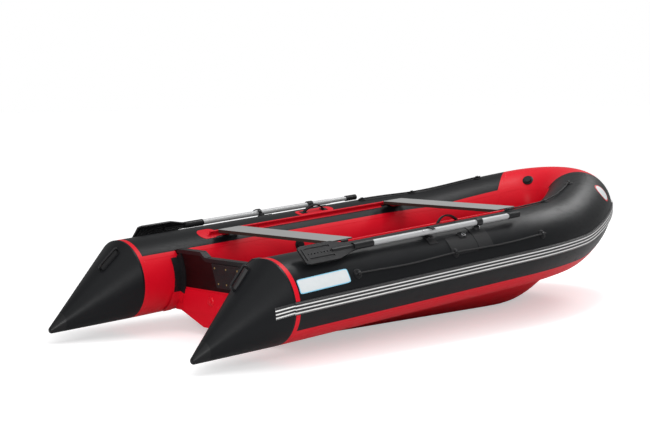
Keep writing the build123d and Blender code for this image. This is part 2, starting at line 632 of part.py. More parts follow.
# Lifelines, eyes and handles
EYE_LOOP_R = ROPE_R + EYE_PLAY + EYE_WALL


def eye(s, deg):
    """Moulded eye: a domed foot with a raised loop that the rope runs through."""
    p, t, n, b = frame(s)
    base = skin(s, deg, TUBE_R - 3)
    out = (skin(s, deg, TUBE_R) - p).normalized()
    lift = out * (EYE_LIFT + 3)
    rim, top = 3 + EYE_FOOT_T * 0.5, 3 + EYE_FOOT_T
    piece = turned(base, out, [(0, 0), (EYE_FOOT_R, 0), (EYE_FOOT_R, rim), (EYE_FOOT_R * 0.7, top), (0, top)])
    piece += cyl(base + t * (-EYE_LOOP_LEN / 2) + lift, t, EYE_LOOP_R, EYE_LOOP_LEN)
    piece -= cyl(base + t * (-EYE_FOOT_R - 2) + lift, t, ROPE_R + EYE_PLAY, 2 * EYE_FOOT_R + 4)
    return off_tubes(piece)


for i in range(3):
    both("side_eye_%d" % (i + 1), eye(EYE_SIDE_X[i], EYE_SIDE_DEG))
    both("top_eye_%d" % (i + 1), eye(EYE_TOP_S[i], EYE_TOP_DEG))


def lifeline(eyes_s, deg, sag):
    """Rope through a row of eyes, hanging a little lower between them."""
    stops = [(eyes_s[0] - ROPE_TAIL, deg)]
    for a, b in zip(eyes_s, eyes_s[1:]):
        stops += [(a, deg), ((a + b) / 2, deg - sag)]
    stops += [(eyes_s[-1], deg), (eyes_s[-1] + ROPE_TAIL, deg)]
    return rod(Spline(*[skin(s, d, TUBE_R + EYE_LIFT) for s, d in stops]), ROPE_R)


both("side_rope", lifeline(EYE_SIDE_X, EYE_SIDE_DEG, ROPE_SAG_DEG))
both("top_rope", lifeline(EYE_TOP_S, EYE_TOP_DEG, 0.0))


def side_handle():
    """Strap handle: an arch along the tube with a pad under each foot."""
    p = Vector(HANDLE_X, TUBE_Y, 0)
    out = Vector(0, cos(radians(HANDLE_DEG)), sin(radians(HANDLE_DEG)))
    reach = Vector(HANDLE_SPAN / 2, 0, 0)
    path = ThreePointArc(p - reach + out * (TUBE_R - 4), p + out * (TUBE_R + HANDLE_H - HANDLE_T / 2),
                         p + reach + out * (TUBE_R - 4))
    across = Vector(0, out.Z, -out.Y)
    strap = sweep(Plane(origin=path @ 0, x_dir=across, z_dir=path % 0) * Rectangle(HANDLE_W, HANDLE_T), path=path)
    for q in (-reach, reach):
        strap += box_at(p + q + out * (TUBE_R - 8), (1, 0, 0), out, *HANDLE_PAD, 12)
    return largest(strap - fat_straight)


both("side_handle", side_handle())


def cone_handle():
    """Moulded carrying loop along the cone's upper inboard side, on an oval pad."""
    out = Vector(0, cos(radians(CONE_HANDLE_DEG)), sin(radians(CONE_HANDLE_DEG)))
    feet = [Vector(-x, TUBE_Y, cone_radius(x) - TUBE_R) + out * cone_radius(x) for x in CONE_HANDLE_X]
    run = (feet[1] - feet[0]).normalized()
    up = (out - run * out.dot(run)).normalized()
    loop = FilletPolyline(feet[0] - up * 6, feet[0] + up * CONE_HANDLE_H, feet[1] + up * CONE_HANDLE_H,
                          feet[1] - up * 6, radius=CONE_HANDLE_BEND)
    pad = Plane(origin=(feet[0] + feet[1]) * 0.5 - up * 8, x_dir=run, z_dir=up) * SlotOverall(*CONE_PAD)
    handle = rod(loop, CONE_HANDLE_R) + extrude(pad, 12)
    fat_cone = loft([cone_section(CAP_X, SEAT_GAP), cone_section(0, SEAT_GAP)], ruled=True).solid()
    return largest(handle - fat_cone - fat_straight)


both("cone_handle", cone_handle())

# towing eye under the bow
tow_dir = Vector(cos(radians(TOW_DEG)), 0, sin(radians(TOW_DEG)))
nose = centre(S_END)
tow_hole = nose + tow_dir * (TUBE_R + TOW_LIFT)
tow = turned(nose + tow_dir * (TUBE_R - 12), tow_dir,
             [(0, 0), (TOW_FOOT_R, 0), (TOW_FOOT_R, 14), (TOW_FOOT_R * 0.7, 20), (0, 20)])
tow += box_at(nose + tow_dir * (TUBE_R + 6), (0, 1, 0), tow_dir, TOW_T, 2 * TOW_LOOP_R, TOW_LIFT - 6)
tow += cyl(tow_hole - Vector(0, TOW_T / 2, 0), (0, 1, 0), TOW_LOOP_R, TOW_T)
tow -= cyl(tow_hole - Vector(0, 2 * TOW_T, 0), (0, 1, 0), TOW_HOLE_R, 4 * TOW_T)
tow -= cyl(nose - Vector(0, 2 * TOW_FOOT_R, 0), (0, 1, 0), TUBE_R + SEAT_GAP, 4 * TOW_FOOT_R)
nodes["tow_eye"] = largest(tow)


def air_valve(s, deg):
    """Valve in its flange, with a screwed cap."""
    p = skin(s, deg, TUBE_R - 6)
    out = (skin(s, deg, TUBE_R) - p).normalized()
    return off_tubes(turned(p, out, [(0, 0), (VALVE_R, 0), (VALVE_R, 9), (VALVE_R * 0.8, 12), (VALVE_R * 0.66, 12),
                                     (VALVE_R * 0.62, 19), (0, 19)]))


both("air_valve", air_valve(SIDE_VALVE_X, SIDE_VALVE_DEG))
nodes["bow_air_valve"] = air_valve(BOW_VALVE_S, BOW_VALVE_DEG)

# like pieces on one body share a node
groups = {
    "rubbing_strake": ["port_strake", "port_curved_strake", "bow_strake", "starboard_curved_strake", "starboard_strake"],
    "bottom_guards": ["keel_guard", "port_bottom_guard", "starboard_bottom_guard"],
    "seat_rails": ["port_seat_rail", "starboard_seat_rail"],
    "lifeline_eyes": [k + "_" + e + "_eye_%d" % i for k in ("port", "starboard") for e in ("side", "top") for i in (1, 2, 3)],
    "lifelines": ["port_side_rope", "starboard_side_rope", "port_top_rope", "starboard_top_rope"],
    "side_handles": ["port_side_handle", "starboard_side_handle"],
    "cone_handles": ["port_cone_handle", "starboard_cone_handle"],
    "cone_caps": ["port_cone_cap", "starboard_cone_cap"],
    "transom_mounts": ["port_transom_mount", "starboard_transom_mount"],
    "air_valves": ["port_air_valve", "starboard_air_valve", "bow_air_valve"],
    "oarlock_bases": ["port_oarlock_base", "starboard_oarlock_base"],
    "oar_clips": ["port_oar_clip", "starboard_oar_clip"],
    "aft_seat_slides": ["aft_seat_port_slide", "aft_seat_starboard_slide"],
    "fore_seat_slides": ["fore_seat_port_slide", "fore_seat_starboard_slide"],
}
for name, members in groups.items():
    nodes[name] = Compound(children=[nodes.pop(m) for m in members])

# Park the boat and write the pieces
os.makedirs("parts", exist_ok=True)
turned_nodes = {name: piece.rotate(Axis.Y, -PARK_DEG) for name, piece in nodes.items()}
boxes = [piece.bounding_box() for piece in turned_nodes.values()]
low = [min(getattr(b.min, k) for b in boxes) for k in "XYZ"]
high = [max(getattr(b.max, k) for b in boxes) for k in "XYZ"]
move = Vector(-(low[0] + high[0]) / 2, 0, -low[2])
for name, piece in turned_nodes.items():
    piece = piece.moved(Location(move))
    piece.label = name
    export_step(piece, "parts/" + name + ".step")


def turn(d):
    """Direction in the parked boat."""
    a = radians(PARK_DEG)
    return Vector(d.X * cos(a) - d.Z * sin(a), d.Y, d.X * sin(a) + d.Z * cos(a))


def place(p):
    """Point in the parked boat."""
    return turn(p) + move


volume = sum(piece.volume for piece in turned_nodes.values())
print("nodes", len(turned_nodes), "size", [round(b - a, 1) for a, b in zip(low, high)], "volume_m3", volume / 1e9)
print("move", tuple(move), "park", PARK_DEG)
for side, way in (("port", 1), ("starboard", -1)):
    pivot = oar_point(PIVOT_X[side])
    print(side, "pivot", tuple(place(Vector(pivot.X, way * pivot.Y, pivot.Z))),
          "axis", tuple(turn(Vector(0, way * axis.Y, axis.Z))))
print("slide axis", tuple(turn(Vector(1, 0, 0))), "tow eye", tuple(place(tow_hole)))
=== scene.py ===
from math import asin, atan2, cos, degrees, hypot, pi, radians, sin

import bpy
from mathutils import Matrix, Vector


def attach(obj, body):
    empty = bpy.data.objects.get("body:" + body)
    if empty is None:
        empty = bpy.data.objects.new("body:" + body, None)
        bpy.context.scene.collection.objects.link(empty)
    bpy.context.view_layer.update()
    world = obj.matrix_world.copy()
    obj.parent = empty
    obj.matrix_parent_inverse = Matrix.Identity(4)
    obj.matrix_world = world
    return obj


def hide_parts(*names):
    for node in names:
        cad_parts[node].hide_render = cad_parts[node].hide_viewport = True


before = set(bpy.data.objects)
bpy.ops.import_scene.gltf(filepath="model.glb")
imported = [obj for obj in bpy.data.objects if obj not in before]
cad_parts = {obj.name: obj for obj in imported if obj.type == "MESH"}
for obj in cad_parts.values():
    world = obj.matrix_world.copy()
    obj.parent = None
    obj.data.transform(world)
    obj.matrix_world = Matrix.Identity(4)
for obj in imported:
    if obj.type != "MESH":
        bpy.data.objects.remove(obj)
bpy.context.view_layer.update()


# The boat stands on its flat bottom, a little bow-up. Its own drawing frame has x = 0 where the
# stern cones start, the bow forward, port to the left and the stern tubes' middle at height 0.
bow_up = radians(3.4)
parked = Vector((-1.461425, 0, 0.309989))


def turned(x, y, z):
    return Vector((x * cos(bow_up) - z * sin(bow_up), y, x * sin(bow_up) + z * cos(bow_up)))


def spot(x, y, z):
    return turned(x, y, z) + parked


def unturned(p):
    q = p - parked
    return q.x * cos(bow_up) + q.z * sin(bow_up), q.y, q.z * cos(bow_up) - q.x * sin(bow_up)


# The camera stands off the starboard quarter at head height and looks down a little at the
# boat, with a long lens that keeps the far tube nearly as large as the near one.
eye = bpy.data.cameras.new("camera")
eye.lens = 81.22
eye.clip_end = 200
camera = bpy.data.objects.new("camera", eye)
bpy.context.scene.collection.objects.link(camera)
heading, dip, lean = 0.7409, 0.1315, -0.0533
ahead = Vector((sin(heading) * cos(dip), cos(heading) * cos(dip), -sin(dip)))
level = Vector((cos(heading), -sin(heading), 0))
above = level.cross(ahead)
right = cos(lean) * level + sin(lean) * above
up = cos(lean) * above - sin(lean) * level
columns = [turned(*right), turned(*up), -turned(*ahead)]
tripod = spot(-4.6772, -6.2291, 1.3861)
camera.matrix_world = Matrix.Translation(tripod) @ Matrix(columns).transposed().to_4x4()
bpy.context.scene.camera = camera
bpy.context.scene.view_settings.view_transform = "Standard"


# The studio floor: a wide sheet of matt white paper that keeps the soft shadow under the hull
# and runs out to pure white all round.
def node(tree, kind, sockets=None, **settings):
    made = tree.nodes.new("ShaderNode" + kind)
    for key, value in settings.items():
        setattr(made, key, value)
    for key, value in (sockets or {}).items():
        if isinstance(value, bpy.types.NodeSocket):
            tree.links.new(value, made.inputs[key])
        else:
            made.inputs[key].default_value = value
    return made


def calc(tree, operation, *values):
    return node(tree, "Math", dict(enumerate(values)), operation=operation).outputs[0]


def plain_material(name):
    made = bpy.data.materials.new(name)
    made.use_nodes = True
    return made, made.node_tree, made.node_tree.nodes["Principled BSDF"]


def clear_selection():
    if bpy.context.object and bpy.context.object.mode != "OBJECT":
        bpy.ops.object.mode_set(mode="OBJECT")
    bpy.ops.object.select_all(action="DESELECT")


clear_selection()
bpy.ops.mesh.primitive_plane_add(size=120, location=(0, 0, -0.0005))
paper_floor = bpy.context.object
paper_floor.name = "paper_floor"
paper, tree, skin_shader = plain_material("white_paper")
skin_shader.inputs["Base Color"].default_value = (0.80, 0.80, 0.805, 1)
skin_shader.inputs["Roughness"].default_value = 1
skin_shader.inputs["Specular IOR Level"].default_value = 0
rays = node(tree, "LightPath").outputs
seen = calc(tree, "MAXIMUM", rays["Is Camera Ray"], rays["Is Transmission Ray"])
lift = node(tree, "Emission", {"Color": (1, 1, 1, 1), "Strength": calc(tree, "MULTIPLY", seen, 0.46)})
both_shades = node(tree, "AddShader", {0: skin_shader.outputs[0], 1: lift.outputs[0]})
tree.links.new(both_shades.outputs[0], tree.nodes["Material Output"].inputs["Surface"])
paper_floor.data.materials.append(paper)


# The studio light: a white room with a wide soft ceiling, a soft box off the stern that lights
# the near faces, and two ahead of the bow that lay the soft bands along the near tube.
room = bpy.data.worlds.new("white_room")
bpy.context.scene.world = room
room.use_nodes = True
tree = room.node_tree
rays = node(tree, "LightPath").outputs
seen = calc(tree, "MAXIMUM", rays["Is Camera Ray"], rays["Is Transmission Ray"])
walls = node(tree, "Background", {"Color": (1, 1, 1, 1), "Strength": 0.34})
backdrop = node(tree, "Background", {"Color": (1, 1, 1, 1), "Strength": 1.0})
mixed = node(tree, "MixShader", {0: seen, 1: walls.outputs[0], 2: backdrop.outputs[0]})
tree.links.new(mixed.outputs[0], tree.nodes["World Output"].inputs["Surface"])


def soft_box(name, place, target, wide, long, power):
    lamp = bpy.data.lights.new(name, "AREA")
    lamp.shape = "RECTANGLE"
    lamp.size, lamp.size_y, lamp.energy = wide, long, power
    held = bpy.data.objects.new(name, lamp)
    bpy.context.scene.collection.objects.link(held)
    held.location = place
    held.rotation_euler = (Vector(target) - Vector(place)).to_track_quat("-Z", "Y").to_euler()


ceiling = bpy.data.lights.new("ceiling", "SUN")
ceiling.energy, ceiling.angle = 1.15, radians(75)
hung = bpy.data.objects.new("ceiling", ceiling)
bpy.context.scene.collection.objects.link(hung)
hung.rotation_euler = (radians(12), radians(-6), 0)
soft_box("stern_soft_box", (-6.5, -5.0, 2.6), (-0.6, 0, 0.2), 3.0, 2.0, 250)
soft_box("bow_soft_box", (5.5, 0.1, 4.0), (0.6, -0.7, 0.6), 2.2, 1.1, 78)
soft_box("top_soft_box", (2.2, -0.2, 5.2), (-1.3, -0.7, 0.5), 1.4, 1.4, 75)


# The tubes and stern cones are welded from PVC-coated polyester cloth, blown up hard: black over
# the top and sides, red below, inside and over the nose, with seam tape where panels meet.
tube_r, tube_y, straight, bend_r, bend = 0.225, 0.635, 1.843, 2.114, radians(34.3)
cone_long, cone_tip_r = 0.487, 0.027
nose_r = 0.32263
nose_x = straight + bend_r * sin(bend)
nose_s = straight + bend_r * bend
nose_end = nose_s + nose_r * (pi / 2 - bend)
rise_x, rise_blend, rise_slope = 2.449, 0.100, 0.147
nose_tilt = atan2(rise_slope, 1)


def rise(x):
    if x < rise_x - rise_blend:
        return 0.0
    if x > rise_x + rise_blend:
        return rise_slope * (x - rise_x)
    return rise_slope * (x - rise_x + rise_blend) ** 2 / (4 * rise_blend)


def middle(s):
    """The tube's middle at length s from the cone, on the port side, in the drawing frame."""
    if s > nose_end:
        x, y, z = middle(2 * nose_end - s)
        return Vector((x, -y, z))
    if s < straight:
        return Vector((s, tube_y, 0))
    if s < nose_s:
        a = (s - straight) / bend_r
        x = straight + bend_r * sin(a)
        return Vector((x, tube_y - bend_r * (1 - cos(a)), rise(x)))
    a = bend + (s - nose_s) / nose_r
    reach = nose_r * (sin(a) - sin(bend))
    return Vector((nose_x + reach * cos(nose_tilt), nose_r * cos(a), rise(nose_x) + reach * sin(nose_tilt)))


def on_skin(s, deg, r=tube_r, starboard=False):
    """A point on the tube: 0 degrees is outboard and 90 is up."""
    run = (middle(s + 1e-4) - middle(s - 1e-4)).normalized()
    out = -Vector((0, 0, 1)).cross(run).normalized()
    if out.y < 0 and s < nose_end:
        out = -out
    top = run.cross(out)
    if top.z < 0:
        top = -top
    p = middle(s) + out * r * cos(radians(deg)) + top * r * sin(radians(deg))
    return spot(p.x, -p.y if starboard else p.y, p.z)


def cone_drop(x):
    """How far the cone's middle lies below the tube's, and its radius inside the tube's."""
    return (tube_r - cone_tip_r) / cone_long * max(0.0, -x)


def laid_out(p):
    """Length along the tube from the port cone round to the starboard one, then how far
    outboard and up of the tube's middle the point lies."""
    x, y, z = unturned(p)
    side = abs(y)
    if x < straight:
        s, out, rise_here = x, side - tube_y, z + cone_drop(x)
    else:
        fore, aside = x - straight, side - tube_y + bend_r
        a = atan2(fore, aside)
        if a < bend:
            s, out = straight + bend_r * a, hypot(fore, aside) - bend_r
            rise_here = z - rise(straight + bend_r * sin(a))
        else:
            dx, dz = x - nose_x, z - rise(nose_x)
            reach = dx * cos(nose_tilt) + dz * sin(nose_tilt) + nose_r * sin(bend)
            s = nose_s + nose_r * (atan2(reach, side) - bend)
            out, rise_here = hypot(reach, side) - nose_r, dz * cos(nose_tilt) - dx * sin(nose_tilt)
    return (s if y > 0 else 2 * nose_end - s, out, rise_here)


def cut_and_laid(name, new_name):
    """A welded copy of a CAD piece that knows where each of its points lies on the tube."""
    clear_selection()
    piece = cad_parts[name].copy()
    piece.data = piece.data.copy()
    piece.name = new_name
    piece.parent = None
    for key in list(piece.keys()):
        if key.startswith("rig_"):
            del piece[key]
    bpy.context.scene.collection.objects.link(piece)
    piece.select_set(True)
    bpy.context.view_layer.objects.active = piece
    bpy.ops.mesh.customdata_custom_splitnormals_clear()
    bpy.ops.object.mode_set(mode="EDIT")
    bpy.ops.mesh.select_all(action="SELECT")
    bpy.ops.mesh.remove_doubles(threshold=0.00002)
    bpy.ops.object.mode_set(mode="OBJECT")
    bpy.ops.object.shade_smooth_by_angle(angle=radians(32))
    lay = piece.data.attributes.new("lay", "FLOAT_VECTOR", "POINT")
    for v in piece.data.vertices:
        lay.data[v.index].vector = laid_out(v.co)
    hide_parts(name)
    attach(piece, "hull")
    return piece


def new_group(name, takes, gives):
    group = bpy.data.node_groups.new(name, "ShaderNodeTree")
    for label, value in takes.items():
        group.interface.new_socket(label, in_out="INPUT", socket_type="NodeSocketFloat").default_value = value
    for label in gives:
        group.interface.new_socket(label, in_out="OUTPUT", socket_type="NodeSocketFloat")
    return group, group.nodes.new("NodeGroupInput").outputs, group.nodes.new("NodeGroupOutput")


# coated cloth: broad tone changes, slack ripples, the weave that prints through, handling marks
cloth, given, result = new_group("coated_cloth", {"Thread": 0.0011}, ["Tone", "Ripple", "Weave", "Rub"])
place = node(cloth, "TexCoord").outputs["Object"]
tone = node(cloth, "TexNoise", {"Vector": place, "Scale": 3.1, "Detail": 3, "Roughness": 0.55})
ripple = node(cloth, "TexNoise", {"Vector": place, "Scale": 5.5, "Detail": 1.5, "Roughness": 0.45})
stretch = node(cloth, "Mapping", {"Vector": place, "Scale": (1, 3.2, 3.2)})
rub = node(cloth, "TexNoise", {"Vector": stretch.outputs[0], "Scale": 14, "Detail": 6, "Roughness": 0.62})
axes = node(cloth, "SeparateXYZ", {0: place}).outputs
warp = calc(cloth, "SINE", calc(cloth, "DIVIDE", calc(cloth, "MULTIPLY", axes[0], 2 * pi), given["Thread"]))
across = calc(cloth, "ADD", axes[1], axes[2])
weft = calc(cloth, "SINE", calc(cloth, "DIVIDE", calc(cloth, "MULTIPLY", across, 2 * pi), given["Thread"]))
cloth.links.new(tone.outputs["Fac"], result.inputs["Tone"])
cloth.links.new(ripple.outputs["Fac"], result.inputs["Ripple"])
cloth.links.new(calc(cloth, "MULTIPLY", warp, weft), result.inputs["Weave"])
marks = node(cloth, "MapRange", {0: rub.outputs["Fac"], 1: 0.52, 2: 0.74})
cloth.links.new(marks.outputs[0], result.inputs["Rub"])


def between(tree, value, low, high, soft):
    """1 where value lies from low to high, fading over soft on both sides."""
    rising = node(tree, "MapRange", {0: value, 1: low - soft, 2: low + soft}).outputs[0]
    falling = node(tree, "MapRange", {0: value, 1: high - soft, 2: high + soft, 3: 1.0, 4: 0.0}).outputs[0]
    return calc(tree, "MULTIPLY", rising, falling)


def blend(tree, mask, first, second):
    mix = node(tree, "Mix", {0: mask}, data_type="RGBA")
    for slot, value in ((6, first), (7, second)):
        if isinstance(value, bpy.types.NodeSocket):
            tree.links.new(value, mix.inputs[slot])
        else:
            mix.inputs[slot].default_value = (*value, 1)
    return mix.outputs[2]


def lay_of(tree):
    lay = node(tree, "Attribute", attribute_name="lay").outputs["Vector"]
    parts = node(tree, "SeparateXYZ", {0: lay}).outputs
    around = calc(tree, "DEGREES", calc(tree, "ARCTAN2", parts[2], parts[1]))
    return parts[0], around


black_cloth, black_light = (0.0040, 0.0045, 0.0055), (0.0070, 0.0076, 0.0088)
red_cloth, red_deep = (0.74, 0.0045, 0.019), (0.64, 0.0034, 0.015)


def cloth_finish(tree, shader, colour, tapes=None):
    """Satin coated cloth in the given colour, raised where the tapes, if any, are."""
    group = node(tree, "Group")
    group.node_tree = cloth
    shader.inputs["Specular IOR Level"].default_value = 0.17
    rough = calc(tree, "ADD", calc(tree, "MULTIPLY", group.outputs["Tone"], 0.10), 0.37)
    rough = calc(tree, "ADD", rough, calc(tree, "MULTIPLY", group.outputs["Rub"], 0.09))
    tree.links.new(rough, shader.inputs["Roughness"])
    tree.links.new(colour(group.outputs["Tone"]), shader.inputs["Base Color"])
    last = node(tree, "Bump", {"Height": group.outputs["Ripple"], "Strength": 0.35, "Distance": 0.004})
    if tapes:
        step = {"Height": tapes, "Strength": 0.9, "Distance": 0.0009, "Normal": last.outputs[0]}
        last = node(tree, "Bump", step)
    weave = group.outputs["Weave"]
    threads = {"Height": weave, "Strength": 0.10, "Distance": 0.0001, "Normal": last.outputs[0]}
    tree.links.new(node(tree, "Bump", threads).outputs[0], shader.inputs["Normal"])


inner_edge, lower_edge = 141.0, -36.0
port_bow_seam, starboard_bow_seam, nose_edge = 2.93, 2 * nose_end - 3.18, 42.0
panels, tree, shader = plain_material("pvc_panels")
along, around = lay_of(tree)
inboard = node(tree, "MapRange", {0: around, 1: inner_edge - 0.15, 2: inner_edge + 0.15}).outputs[0]
below = node(tree, "MapRange", {0: around, 1: lower_edge + 0.15, 2: lower_edge - 0.15}).outputs[0]
seam_slant = 0.0022
from_edge = calc(tree, "SUBTRACT", inner_edge, around)
slanted = calc(tree, "SUBTRACT", along, calc(tree, "MULTIPLY", from_edge, seam_slant))
past_port_seam = between(tree, slanted, port_bow_seam, 9.0, 0.0006)
short_of_starboard_seam = between(tree, along, 0.0, starboard_bow_seam, 0.0006)
bow_run = calc(tree, "MULTIPLY", past_port_seam, short_of_starboard_seam)
over_top = node(tree, "MapRange", {0: around, 1: nose_edge - 0.2, 2: nose_edge + 0.2}).outputs[0]
over_nose = calc(tree, "MULTIPLY", bow_run, over_top)
red_side = calc(tree, "MAXIMUM", calc(tree, "MAXIMUM", inboard, below), over_nose)
nearest = calc(tree, "MINIMUM", along, calc(tree, "SUBTRACT", 2 * nose_end, along))
on_tube = node(tree, "MapRange", {0: nearest, 1: 0.0196, 2: 0.0204}).outputs[0]
ring_start, ring_end, tape_wide = 0.012, 0.040, 0.030
ring = between(tree, nearest, ring_start, ring_end, 0.0005)
red = calc(tree, "MAXIMUM", calc(tree, "MULTIPLY", red_side, on_tube), ring)
tape = ring
for edge in (inner_edge + 3, lower_edge - 3):
    strip = between(tree, around, edge - 4, edge + 4, 0.25)
    tape = calc(tree, "MAXIMUM", tape, calc(tree, "MULTIPLY", strip, on_tube))
port_tape = between(tree, slanted, port_bow_seam - 0.002, port_bow_seam + tape_wide, 0.0008)
starboard_tape = between(tree, along, starboard_bow_seam - tape_wide, starboard_bow_seam + 0.002, 0.0008)
tape = calc(tree, "MAXIMUM", calc(tree, "MAXIMUM", tape, port_tape), starboard_tape)


def panel_colour(tone):
    black = blend(tree, tone, black_cloth, black_light)
    return blend(tree, red, black, blend(tree, tone, red_deep, red_cloth))


cloth_finish(tree, shader, panel_colour, tape)
for name in ("port_tube", "starboard_tube", "bow_tube", "port_cone", "starboard_cone"):
    piece = cut_and_laid(name, name + "_skin")
    piece.data.materials.clear()
    piece.data.materials.append(panels)


# The cones end in moulded rubber caps, cemented on over the cloth. They take the knocks when the
# boat is dragged, so they are harder than the cloth and a little glossier.
moulded, given, result = new_group("moulded_grain", {"Grain": 900.0}, ["Tone", "Skin", "Scuff"])
place = node(moulded, "TexCoord").outputs["Object"]
tone = node(moulded, "TexNoise", {"Vector": place, "Scale": 22, "Detail": 4, "Roughness": 0.6})
fine = node(moulded, "TexVoronoi", {"Vector": place, "Scale": given["Grain"]}, feature="SMOOTH_F1")
scratches = {"Vector": place, "Scale": 120, "Detail": 5, "Roughness": 0.7, "Distortion": 0.6}
scuff = node(moulded, "TexNoise", scratches)
moulded.links.new(tone.outputs["Fac"], result.inputs["Tone"])
moulded.links.new(fine.outputs["Distance"], result.inputs["Skin"])
marks = node(moulded, "MapRange", {0: scuff.outputs["Fac"], 1: 0.56, 2: 0.72})
moulded.links.new(marks.outputs[0], result.inputs["Scuff"])


def moulding(name, dark, light, rough, grain=900.0, depth=0.00012, relief=None, metallic=0.0):
    """A moulded plastic or rubber finish with a fine grain and slight handling marks."""
    made, tree, shader = plain_material(name)
    group = node(tree, "Group")
    group.node_tree = moulded
    group.inputs["Grain"].default_value = grain
    shader.inputs["Metallic"].default_value = metallic
    shader.inputs["Specular IOR Level"].default_value = 0.25
    mask = calc(tree, "MAXIMUM", calc(tree, "MULTIPLY", group.outputs["Tone"], 0.7), group.outputs["Scuff"])
    tree.links.new(blend(tree, mask, dark, light), shader.inputs["Base Color"])
    spread = calc(tree, "ADD", calc(tree, "MULTIPLY", group.outputs["Tone"], 0.14), rough - 0.07)
    scuffed = calc(tree, "MULTIPLY", group.outputs["Scuff"], 0.08)
    tree.links.new(calc(tree, "ADD", spread, scuffed), shader.inputs["Roughness"])
    bump = node(tree, "Bump", {"Height": group.outputs["Skin"], "Strength": 0.35, "Distance": depth})
    if relief:
        height, size = relief(tree)
        pattern = {"Height": height, "Strength": 1.0, "Distance": size, "Normal": bump.outputs[0]}
        bump = node(tree, "Bump", pattern)
    tree.links.new(bump.outputs[0], shader.inputs["Normal"])
    return made


def dress(name, material):
    """Gives a CAD piece its finish."""
    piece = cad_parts[name]
    piece.data.materials.clear()
    piece.data.materials.append(material)
    return piece


def drawing_axes(tree):
    """Coordinates along the boat's own axes."""
    place = node(tree, "TexCoord").outputs["Object"]
    moved = node(tree, "VectorMath", {0: place, 1: tuple(parked)}, operation="SUBTRACT").outputs[0]
    level = node(tree, "Mapping", {"Vector": moved, "Rotation": (0, bow_up, 0)})
    return node(tree, "SeparateXYZ", {0: level.outputs[0]}).outputs


cap_rubber = moulding("cone_cap_rubber", (0.0040, 0.0043, 0.0050), (0.0090, 0.0093, 0.0100), 0.38)
dress("cone_caps", cap_rubber)


# The transom is a plywood board lacquered near black, with a black extruded trim pressed over its
# edge. Its sides sit in black moulded profiles glued to the tubes, with red cloth over their feet.
def red_over(tree, shader, mask):
    base = shader.inputs["Base Color"]
    tree.links.new(blend(tree, mask, base.links[0].from_socket, red_deep), base)


transom_wood, tree, shader = plain_material("transom_lacquered_ply")
place = node(tree, "TexCoord").outputs["Object"]
grain = node(tree, "Mapping", {"Vector": place, "Scale": (60, 4, 60)}).outputs[0]
fibre = {"Vector": grain, "Scale": 3, "Detail": 6, "Roughness": 0.65, "Distortion": 0.3}
lines = node(tree, "TexNoise", fibre).outputs["Fac"]
tone = node(tree, "MapRange", {0: lines, 1: 0.36, 2: 0.66}).outputs[0]
lacquer_dark, lacquer_light = (0.0080, 0.0006, 0.0010), (0.020, 0.0016, 0.0022)
tree.links.new(blend(tree, tone, lacquer_dark, lacquer_light), shader.inputs["Base Color"])
tree.links.new(calc(tree, "MULTIPLY_ADD", tone, 0.15, 0.36), shader.inputs["Roughness"])
shader.inputs["Specular IOR Level"].default_value = 0.16
bump = node(tree, "Bump", {"Height": lines, "Strength": 0.3, "Distance": 0.0003})
tree.links.new(bump.outputs[0], shader.inputs["Normal"])
skirt_top = -0.060
red_over(tree, shader, between(tree, drawing_axes(tree)[2], -1.0, skirt_top, 0.001))
dress("transom", transom_wood)
trim_plastic = moulding("edge_trim_plastic", (0.006, 0.006, 0.007), (0.018, 0.018, 0.020), 0.34)
dress("transom_edge_trim", trim_plastic)
mount_rubber = moulding("mount_rubber", (0.006, 0.006, 0.007), (0.018, 0.018, 0.019), 0.42, grain=600.0)
tree = mount_rubber.node_tree
covered_from, covered_to = -158.0, -20.0
covered = between(tree, lay_of(tree)[1], covered_from, covered_to, 0.3)
red_over(tree, tree.nodes["Principled BSDF"], covered)
piece = cut_and_laid("transom_mounts", "transom_mounts_taped")
piece.data.materials.clear()
piece.data.materials.append(mount_rubber)


# The outboard's clamps bear on ribbed pads of hard black plastic, screwed through the transom
# with brass screws; the inside pad matches the outside one.
pad_rib_step, pad_rib_height = 0.0062, 0.0014


def pad_ribs(tree):
    wave = calc(tree, "SINE", calc(tree, "MULTIPLY", drawing_axes(tree)[1], pi / pad_rib_step))
    return calc(tree, "POWER", calc(tree, "ABSOLUTE", wave), 0.4), pad_rib_height


pad_plastic = moulding("motor_pad_plastic", (0.005, 0.005, 0.006), (0.020, 0.020, 0.021), 0.38,
                       relief=pad_ribs)
for name in ("outer_motor_pad", "inner_motor_pad"):
    dress(name, pad_plastic)


def turned_piece(name, rings, sides):
    """A round piece spun from a profile of (radius, height) rings, standing on the origin."""
    clear_selection()
    radius, height = rings[0]
    bpy.ops.mesh.primitive_circle_add(vertices=sides, radius=radius, fill_type="NGON",
                                      location=(0, 0, height))
    piece = bpy.context.object
    piece.name = name
    bpy.ops.object.mode_set(mode="EDIT")
    bpy.ops.mesh.select_all(action="SELECT")
    bpy.ops.mesh.normals_make_consistent(inside=False)
    last = rings[0]
    for r, z in rings[1:]:
        bpy.ops.mesh.extrude_region_move(TRANSFORM_OT_translate={"value": (0, 0, z - last[1])})
        share = r / last[0]
        bpy.ops.transform.resize(value=(share, share, 1), center_override=(0, 0, z))
        last = (r, z)
    bpy.ops.mesh.select_all(action="SELECT")
    bpy.ops.mesh.normals_make_consistent(inside=False)
    bpy.ops.object.mode_set(mode="OBJECT")
    bpy.ops.object.transform_apply(location=True, rotation=True, scale=True)
    bpy.ops.object.shade_smooth_by_angle(angle=radians(40))
    return piece


def stand(piece, at, way, turn=0.0):
    """Moves a piece from the origin so that its own z points along way."""
    quat = Vector((0, 0, 1)).rotation_difference(Vector(way).normalized())
    piece.data.transform(Matrix.Translation(at) @ quat.to_matrix().to_4x4() @ Matrix.Rotation(turn, 4, "Z"))
    return piece


